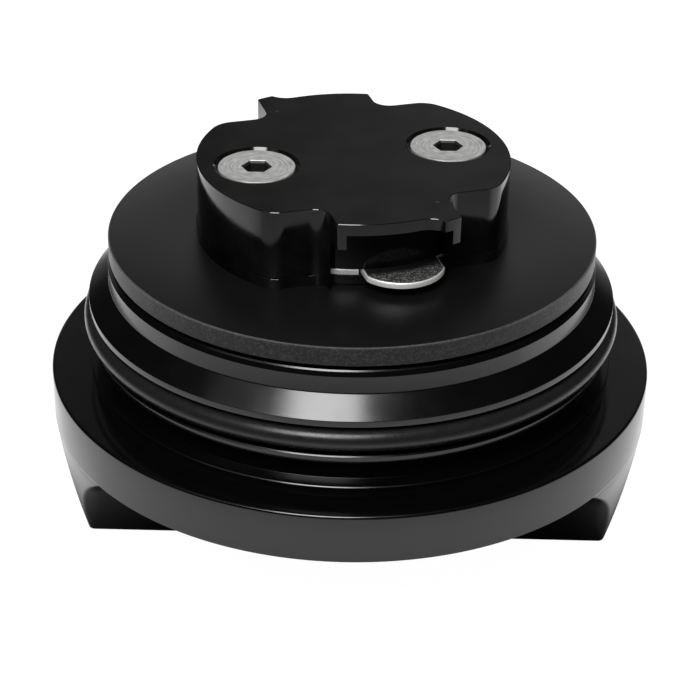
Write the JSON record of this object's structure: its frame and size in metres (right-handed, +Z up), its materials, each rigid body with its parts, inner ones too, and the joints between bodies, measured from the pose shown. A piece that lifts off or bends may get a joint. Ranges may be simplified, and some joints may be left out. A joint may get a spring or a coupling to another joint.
{
  "type": "oil filler cap",
  "caption": "Machined oil filler cap with a bar grip, an O-ring neck, a flat gasket, and a windowed bayonet key screwed on over a steel lock spring.",
  "frame": {"origin": "middle of the grip's flat end, on the surface that the cap stands on", "axes": "+Z up along the cap's axis from the grip to the key, +X along the grip bar, -Y towards the side that the picture shows"},
  "size_m": [0.08, 0.08, 0.0501],
  "materials": {
    "anodised_body": "satin black anodised, turned",
    "anodised_key": "satin black anodised, milled",
    "seal_rubber": "smooth nitrile",
    "gasket_rubber": "matte, cut edge",
    "spring_steel": "grainy zinc plated",
    "screw_steel": "bright turned stainless"
  },
  "bodies": {
    "root": {"cap_body": "anodised_body", "o_ring": "seal_rubber", "flat_gasket": "gasket_rubber", "lock_spring": "spring_steel", "bayonet_key": "anodised_key", "key_screw_front": "screw_steel", "key_screw_back": "screw_steel"}
  },
  "joints": []
}
